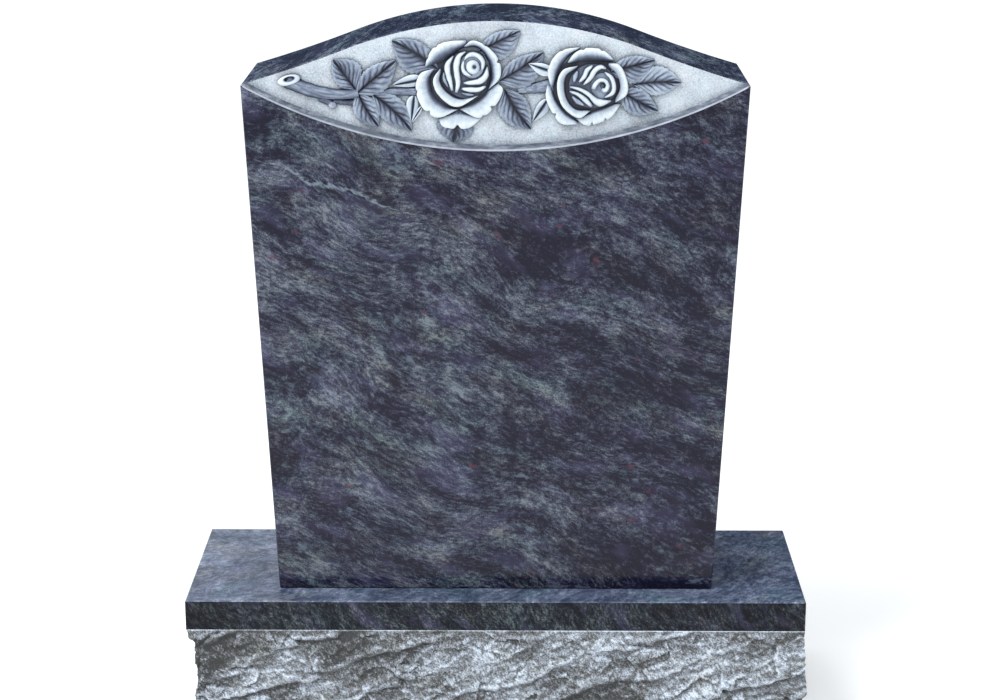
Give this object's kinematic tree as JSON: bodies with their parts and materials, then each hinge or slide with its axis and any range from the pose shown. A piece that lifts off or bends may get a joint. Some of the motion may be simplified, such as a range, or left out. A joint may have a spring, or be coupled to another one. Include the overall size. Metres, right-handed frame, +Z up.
{
  "type": "granite headstone",
  "caption": "Upright granite headstone: tapered tablet with a serpentine top and a sunk panel of carved roses, on a base with rock-pitched sides.",
  "frame": {"origin": "middle of the base's flat underside, on the ground", "axes": "+Z up, +Y from the carved front to the plain back, +X to the right of someone facing the front"},
  "size_m": [0.9093, 0.3225, 1.0323],
  "materials": {
    "polished_granite": "polished dark blue-grey granite with flowing lighter streaks; frosted pale in the carved panel",
    "pitched_granite": "polished on top and on a band round the sides, split rough and pale grey below"
  },
  "bodies": {
    "root": {"tablet": "polished_granite", "base": "pitched_granite"}
  },
  "joints": []
}
